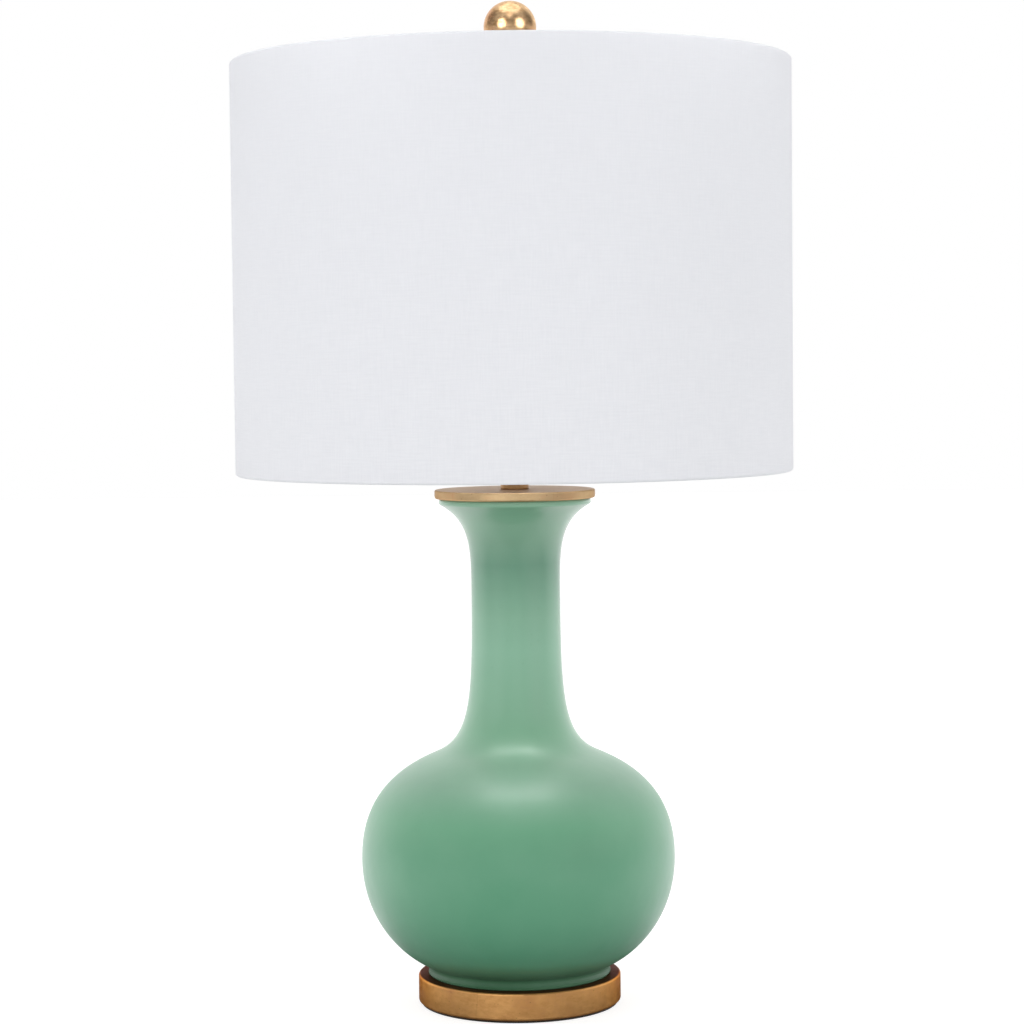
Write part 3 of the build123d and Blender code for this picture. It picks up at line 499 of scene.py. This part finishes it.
# Cap: a turned disc gilded like the plinth. It closes the vase's mouth, centred by a spigot, and the
# pipe passes through its middle.
_, cap_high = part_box("vase_cap")
leafed_cap = leafed(
    "leafed_cap",
    dull=(0.440, 0.300, 0.160),
    bright=(0.550, 0.395, 0.225),
    levels=(vase_high.z, cap_high.z),
    seam_turn=-35.0,
    wear=0.45,
    metal=0.90,
    rough=(0.34, 0.48),
    # Painted reflection: the top faces are turned pale grey for the white inside of the shade seen in
    # them.
    painted_top_share=0.60,
    painted_top_color=(0.440, 0.385, 0.345),
    tint=(0.55, 0.45, 0.40),
)
dress(leafed_cap, "vase_cap")

# Collar: a short turned brass tube on the pipe, between the cap and the harp's saddle, gone a little
# coppery with handling.
collar_brass = turned(
    "collar_brass",
    (0.240, 0.120, 0.052),
    (0.540, 0.330, 0.165),
    rough=(0.24, 0.40),
    pitch=0.0016,
    depth=0.00004,
)
dress(collar_brass, "neck_collar")

# Harp: a stamped saddle with two pegs, one bent wire that drops over them, the boss and stud on its
# top, and the two sleeves that lock the wire down. All brass plated.
harp_brass = turned(
    "harp_brass",
    (0.340, 0.215, 0.075),
    (0.640, 0.450, 0.190),
    rough=(0.16, 0.30),
    pitch=0.0030,
    depth=0.00003,
)
dress(harp_brass, "harp_saddle", "harp_wire", "harp_stud", "left_harp_sleeve", "right_harp_sleeve")

# Socket: a spun brass cap and shell, lined with waxed card, round a moulded body that carries the
# screw shell, the centre contact and two terminal screws.
spun_brass = turned(
    "spun_brass",
    (0.360, 0.225, 0.080),
    (0.680, 0.480, 0.205),
    rough=(0.18, 0.34),
    pitch=0.0011,
    depth=0.00004,
)
dress(spun_brass, "socket_cap", "socket_shell", "socket_contact", "terminal_screws", "bulb_contact")
waxed_card = moulded(
    "waxed_card", (0.380, 0.260, 0.130), (0.520, 0.380, 0.210), rough=(0.55, 0.75), depth=0.00010
)
dress(waxed_card, "socket_insulator")
phenolic = moulded(
    "phenolic", (0.012, 0.008, 0.006), (0.034, 0.022, 0.016), rough=(0.30, 0.46), depth=0.00005
)
dress(phenolic, "socket_body", "bulb_insulator")
thread_aluminium = turned(
    "thread_aluminium",
    (0.50, 0.50, 0.50),
    (0.72, 0.72, 0.71),
    rough=(0.22, 0.38),
    pitch=0.0030,
    depth=0.00020,
)
dress(thread_aluminium, "socket_screw_shell", "bulb_base", "bulb_board")

# Switch: a brass stem that comes out through the front of the socket, and a fluted knob of dark gloss
# plastic pressed onto its end.
dress(spun_brass, "switch_stem")
knob_plastic = moulded(
    "knob_plastic", (0.009, 0.007, 0.006), (0.022, 0.018, 0.015), rough=(0.16, 0.28), depth=0.00003
)
dress(knob_plastic, "switch_knob")

# Bulb: a white plastic housing fixed in the screw base, with a round aluminium board inside and a
# frosted globe glued over it.
bulb_white = moulded(
    "bulb_white", (0.76, 0.76, 0.74), (0.84, 0.84, 0.82), rough=(0.34, 0.48), depth=0.00004
)
dress(bulb_white, "bulb_housing")
frosted = moulded(
    "frosted",
    (0.66, 0.66, 0.63),
    (0.74, 0.74, 0.71),
    rough=(0.30, 0.42),
    depth=0.00003,
    surface={
        "Subsurface Weight": 0.25,
        "Subsurface Radius": (0.02, 0.02, 0.018),
        "Subsurface Scale": 0.2,
    },
)
dress(frosted, "bulb_globe")

# Shade frame: two rings and a spider of steel wire, spot welded and coated white. The spider's
# washer sits on the harp's boss and its three arms carry the top ring.
wire_white = moulded(
    "wire_white", (0.66, 0.66, 0.64), (0.80, 0.80, 0.79), rough=(0.30, 0.46), depth=0.00005
)
dress(wire_white, "shade_spider", "shade_top_ring", "shade_bottom_ring")

# Liner: a sheet of white styrene, rolled into a drum round the two rings to stiffen the shade. The
# cover is laminated to its outside.
styrene = moulded("styrene", (0.71, 0.71, 0.70), (0.78, 0.78, 0.77), rough=(0.42, 0.56), depth=0.00003)
dress(styrene, "shade_liner")

# Cover: plain-woven white linen, stretched round the liner, lapped down the back and turned in over
# both rings. The threads are uneven, so it has slubs both ways.
cover_low, cover_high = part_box("shade_fabric")
cover_inset = 0.0003
cover_radius = cover_high.x - cover_inset
cover_bottom = cover_low.z + cover_inset
cover_top = cover_high.z - cover_inset
cloth_thickness = 0.0005
hem_radius = 0.18505
hem_depth = 0.0100
hem_roll = 0.0020
lap_half = 0.0074
hem_slack = 0.0001
wall_slack = 0.00001
arm_angles = (90, 210, 330)
cover_steps = 240
cover_rows = 24
roll_steps = 6
bpy.ops.mesh.primitive_plane_add(size=0.002, location=(0, 0, 0))
cover = bpy.context.object
cover.name = "linen_cover"
bpy.ops.object.mode_set(mode="EDIT")
bpy.ops.mesh.merge(type="CENTER")
bpy.ops.transform.translate(value=(hem_radius, 0, cover_bottom + hem_depth))


def go_to(radius, height):
    """Draws the line on to this radius and height."""
    end = [v.co.copy() for v in bmesh.from_edit_mesh(cover.data).verts if v.select][0]
    bpy.ops.mesh.extrude_region_move(
        TRANSFORM_OT_translate={"value": (radius - end.x, 0, height - end.z)}
    )


def roll(center_radius, center_height, start, end):
    """Draws the line on round a rolled edge, in short steps."""
    for step in range(roll_steps + 1):
        turn = radians(start + (end - start) * step / roll_steps)
        go_to(center_radius + hem_roll * cos(turn), center_height + hem_roll * sin(turn))


roll(hem_radius + hem_roll, cover_bottom + hem_roll, 180, 270)
roll(cover_radius - hem_roll, cover_bottom + hem_roll, 270, 360)
wall_height = cover_top - cover_bottom - 2 * hem_roll
for row in range(1, cover_rows):
    go_to(cover_radius, cover_bottom + hem_roll + wall_height * row / cover_rows)
roll(cover_radius - hem_roll, cover_top - hem_roll, 0, 90)
roll(hem_radius + hem_roll, cover_top - hem_roll, 90, 180)
go_to(hem_radius, cover_top - hem_depth)
bpy.ops.mesh.select_all(action="SELECT")
bpy.ops.transform.rotate(value=pi / cover_steps, orient_axis="Z", center_override=(0, 0, 0))
bpy.ops.mesh.spin(steps=cover_steps, angle=2 * pi, center=(0, 0, 0), axis=(0, 0, 1))
bpy.ops.mesh.select_all(action="SELECT")
bpy.ops.mesh.remove_doubles(threshold=0.00001)
bpy.ops.mesh.normals_make_consistent(inside=False)
notch_half = pi / cover_steps * 1.05


def at_an_arm(at):
    """True on the column of turned-in hem that each arm of the spider goes through."""
    turn = atan2(at.y, at.x)
    column = any(abs((turn - radians(arm) + pi) % (2 * pi) - pi) < notch_half for arm in arm_angles)
    turned_in = hypot(at.x, at.y) < hem_radius + hem_slack
    return column and turned_in and at.z > (cover_low.z + cover_high.z) / 2


def in_lap(at):
    """True down the back, where the cloth's two ends lie over each other."""
    return at.y > 0 and abs(at.x) < lap_half and hypot(at.x, at.y) > cover_radius - wall_slack


choose(cover, "FACE", at_an_arm)
bpy.ops.mesh.delete(type="FACE")
choose(cover, "FACE", in_lap)
bpy.ops.mesh.extrude_region_shrink_fatten(TRANSFORM_OT_shrink_fatten={"value": cloth_thickness})
bpy.ops.object.mode_set(mode="OBJECT")
cloth_map = cover.data.uv_layers.new(name="cloth")
for face in cover.data.polygons:
    middle = atan2(face.center.x, -face.center.y)
    for loop in face.loop_indices:
        at = cover.data.vertices[cover.data.loops[loop].vertex_index].co
        turn = (atan2(at.x, -at.y) - middle + pi) % (2 * pi) - pi + middle
        cloth_map.data[loop].uv = (turn * cover_radius, at.z + cover_radius - hypot(at.x, at.y))
thickness = cover.modifiers.new("thickness", "SOLIDIFY")
thickness.thickness = cloth_thickness
thickness.offset = 0.0
bpy.ops.object.modifier_apply(modifier=thickness.name)
bpy.ops.object.shade_smooth_by_angle(angle=radians(50))

linen, tree, cloth = new_finish("linen", {"Sheen Weight": 0.15, "Sheen Roughness": 0.5})
weave_scale = 1 / 0.0011
way = add_node(tree, "ShaderNodeUVMap", uv_map="cloth")
threads = []
for scale in ((900.0, 60.0, 1.0), (60.0, 900.0, 1.0)):
    stretch = add_node(tree, "ShaderNodeMapping", {"Scale": scale})
    slubs = add_node(tree, "ShaderNodeTexNoise", {"Scale": 1.0, "Detail": 3.0, "Roughness": 0.55})
    tree.links.new(way.outputs["UV"], stretch.inputs["Vector"])
    tree.links.new(stretch.outputs["Vector"], slubs.inputs["Vector"])
    threads.append(slubs.outputs["Fac"])
waves = []
for direction in ("X", "Y"):
    ribs = add_node(
        tree,
        "ShaderNodeTexWave",
        {"Scale": weave_scale, "Distortion": 1.2, "Detail": 2.0, "Detail Scale": 0.3},
        bands_direction=direction,
    )
    tree.links.new(way.outputs["UV"], ribs.inputs["Vector"])
    waves.append(ribs.outputs["Fac"])
uneven = reckon(tree, "ADD", *threads)
woven = reckon(tree, "MULTIPLY", *waves)
slubbed = spread(tree, uneven, 0.0, 1.0, 0.7, 1.3)
cloth_color = mix_colors(tree, slubbed, (0.790, 0.800, 0.838), (0.838, 0.846, 0.880))
place = add_node(tree, "ShaderNodeTexCoord")
# Darker towards the top: painted shade that evens out the light, which falls brighter on the upper shade.
painted_shade_at_top = spread(tree, split(tree, place.outputs["Object"])["Z"], 0.0, 0.5, 0.37, 0.64)
cloth_color = mix_colors(tree, painted_shade_at_top, cloth_color, (0.750, 0.760, 0.800))
tree.links.new(cloth_color, cloth.inputs["Base Color"])
tree.links.new(spread(tree, uneven, 0.82, 0.92, 0.7, 1.3), cloth.inputs["Roughness"])
raise_grain(tree, cloth, reckon(tree, "ADD", woven, uneven), depth=0.00012)
dress(linen, "linen_cover")
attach(cover, "shade")
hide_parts("shade_fabric")

# Finial: a turned brass base that screws onto the harp's stud and holds the shade down, and a wooden
# ball gilded like the plinth and burnished brighter.
dress(spun_brass, "finial_base")
ball_low, ball_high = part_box("finial_ball")
leafed_ball = leafed(
    "leafed_ball",
    dull=(0.310, 0.170, 0.072),
    bright=(0.700, 0.485, 0.280),
    levels=(ball_low.z,),
    seam_turn=10.0,
    wear=0.90,
    metal=0.95,
    rough=(0.23, 0.262),
    painted_top_share=0.0,
    painted_top_color=(0.090, 0.050, 0.022),
    tint=(0.90, 0.82, 0.72),
)
dress(leafed_ball, "finial_ball")

# Studio: a pale floor and a white surround, brighter behind, with soft lamps round the object and in
# the shade, and a spot on each side of it. The glints shine only on the plinth and the cap, and the
# glows only on the vase. White cards and dim flags round the finial show only in gloss.


def sight(tree):
    """Masks for what is seen straight or through glass, and for what is seen in gloss."""
    path = add_node(tree, "ShaderNodeLightPath")
    straight = reckon(tree, "MAXIMUM", path.outputs["Is Camera Ray"], path.outputs["Is Transmission Ray"])
    return straight, path.outputs["Is Glossy Ray"]


def aim(lamp, target):
    """Turns a lamp to face a point."""
    aimed = Vector(target) - lamp.location
    lamp.rotation_euler = aimed.to_track_quat("-Z", "Y").to_euler()


bpy.ops.mesh.primitive_plane_add(size=14, location=(0, 0, -0.0002))
floor = bpy.context.object
floor.name = "floor"
floor_paper, tree, paper = new_finish(
    "floor_paper", {"Roughness": 0.9, "Specular IOR Level": 0.1, "Emission Color": (1, 1, 1, 1)}
)
place, pulp = add_patina(tree, cloud_scale=3.0, speck_scale=100.0, grain_scale=300.0)
ways = split(tree, place.outputs["Object"])
# The floor is grey down the middle and pale to each side, so that it throws more light on the lamp's
# lower sides.
paper_grey = mix_colors(tree, pulp.outputs["Grain"], (0.35, 0.35, 0.35), (0.38, 0.38, 0.38))
aside = spread(tree, reckon(tree, "MULTIPLY", ways["X"], ways["X"]), 0.0, 1.0, 0.008, 0.10)
paper_grey = mix_colors(tree, aside, paper_grey, (0.76, 0.76, 0.76))
tree.links.new(paper_grey, paper.inputs["Base Color"])
straight, glossy = sight(tree)
reach = add_node(tree, "ShaderNodeVectorMath", operation="LENGTH")
tree.links.new(place.outputs["Object"], reach.inputs[0])
# In gloss the floor glows brightly behind and beside the lamp, not at all in front of it, and fades to
# nothing close round the plinth: a painted reflection of a lit floor, with the lamp's own shadow painted
# round its foot. For the camera it glows white.
bright_behind = reckon(
    tree,
    "MULTIPLY",
    spread(tree, ways["Y"], 0.0, 0.80, -0.35, 0.10),
    spread(tree, reach.outputs["Value"], 0.0, 1.0, 0.09, 0.20),
)
mirrored = reckon(tree, "MULTIPLY", glossy, bright_behind)
white = reckon(tree, "MAXIMUM", spread(tree, straight, 0.0, 0.80, 0.0, 1.0), mirrored)
tree.links.new(white, paper.inputs["Emission Strength"])
dress(floor_paper, "floor")

world = bpy.data.worlds.new("white_surround")
bpy.context.scene.world = world
world.use_nodes = True
tree = world.node_tree
sky = tree.nodes["Background"]
sky.inputs["Color"].default_value = (1, 1, 1, 1)
straight, glossy = sight(tree)
toward = add_node(tree, "ShaderNodeTexCoord")
ways = split(tree, toward.outputs["Generated"])
soft_light = reckon(
    tree,
    "MULTIPLY",
    spread(tree, ways["Z"], 1.12, 0.45, 0.25, 0.75),
    spread(tree, ways["Y"], 0.85, 1.40, -1.0, 1.0),
)
in_gloss = reckon(
    tree,
    "MAXIMUM",
    spread(tree, ways["Y"], 0.38, 1.60, -0.60, 0.75),
    spread(tree, ways["Z"], 0.0, 1.0, 0.60, 0.86),
)
unseen = blend(tree, glossy, soft_light, in_gloss)
tree.links.new(blend(tree, straight, unseen, 1.0), sky.inputs["Strength"])

plinth_and_cap = ("base_plinth", "vase_cap")
for name, place, target, size, power, shows_in_gloss, lit_only in (
    ("left_lamp", (-1.7, -1.5, 0.55), (0, 0, 0.30), 1.3, 10.5, False, ()),
    ("right_lamp", (1.7, -1.5, 0.55), (0, 0, 0.30), 1.3, 8.5, False, ()),
    ("front_lamp", (0, -2.3, 0.35), (0, 0, 0.30), 0.7, 7.0, False, ()),
    ("top_lamp", (0, 0, 1.9), (0, 0, 0), 1.5, 9.5, True, ()),
    ("shade_lamp", (0, 0, 0.372), (0, 0, 1), 0.32, 0.6, False, ()),
    ("left_glint", (-0.95, -2.0, 0.25), (0, 0, 0), 1.6, 15.0, True, plinth_and_cap),
    ("right_glint", (0.75, -2.1, 0.25), (0, 0, 0), 1.6, 9.0, True, plinth_and_cap),
    ("left_glow", (-0.065, -0.05, 0.56), (-0.065, -0.05, 0), 0.16, 0.28, True, ("vase",)),
    ("right_glow", (0.065, -0.05, 0.56), (0.065, -0.05, 0), 0.16, 0.36, True, ("vase",)),
):
    bpy.ops.object.light_add(type="AREA", location=place)
    lamp = bpy.context.object
    lamp.name = name
    lamp.data.shape = "DISK"
    lamp.data.size = size
    lamp.data.energy = power
    lamp.visible_camera = False
    lamp.visible_glossy = shows_in_gloss
    aim(lamp, target)
    if lit_only:
        lamp.visible_diffuse = False
        lamp.light_linking.receiver_collection = bpy.data.collections.new(name + "_lights")
        for piece in lit_only:
            lamp.light_linking.receiver_collection.objects.link(bpy.data.objects[piece])
for name, side in (("left_spot", -1), ("right_spot", 1)):
    bpy.ops.object.light_add(type="SPOT", location=(side * 1.6, 0.25, 0.75))
    lamp = bpy.context.object
    lamp.name = name
    lamp.data.energy = 4.5
    lamp.data.spot_size = radians(17)
    lamp.data.spot_blend = 0.4
    lamp.data.shadow_soft_size = 0.2
    lamp.visible_camera = lamp.visible_glossy = False
    aim(lamp, (side * 0.19, 0, 0.51))

ball_middle = (ball_low + ball_high) / 2
for name, offset, radius, glow in (
    ("left_card", (-0.145, -0.208, 0.055), 0.081, 7.5),
    ("right_card", (0.174, -0.184, 0.055), 0.081, 7.5),
    ("upper_card", (-0.005, -0.145, 0.150), 0.034, 2.8),
    ("lower_card", (0.0, -0.420, -0.020), 0.110, 0.9),
    ("left_flag", (-0.270, 0.045, 0.135), 0.128, 0.25),
    ("right_flag", (0.270, 0.045, 0.135), 0.128, 0.25),
):
    away = Vector(offset)
    card_face, _, _ = new_finish(
        name,
        {"Base Color": (0.02, 0.02, 0.02, 1), "Emission Color": (1, 1, 1, 1), "Emission Strength": glow},
    )
    bpy.ops.mesh.primitive_circle_add(
        vertices=48, radius=radius, fill_type="NGON", location=ball_middle + away
    )
    card = bpy.context.object
    card.name = name
    card.rotation_euler = away.to_track_quat("Z", "Y").to_euler()
    card.visible_camera = card.visible_diffuse = card.visible_shadow = card.visible_transmission = False
    card.data.materials.append(card_face)

# Camera: a long lens a little above the middle of the lamp, tipped slightly down and hardly turned.
# It leans a little sideways. The angles are in degrees.
tip_down = 3.2
swing = 0.06
lean = -0.6
bpy.ops.object.camera_add(location=(0, -1.9186, 0.4462))
camera = bpy.context.object
heading = Euler((radians(90 - tip_down), 0, radians(swing))).to_matrix()
camera.rotation_euler = (heading @ Matrix.Rotation(radians(lean), 3, "Z")).to_euler()
camera.data.sensor_width = 36
camera.data.lens = 98.39
camera.data.clip_start = 0.05
camera.data.clip_end = 100
bpy.context.scene.camera = camera
bpy.context.scene.view_settings.view_transform = "Standard"
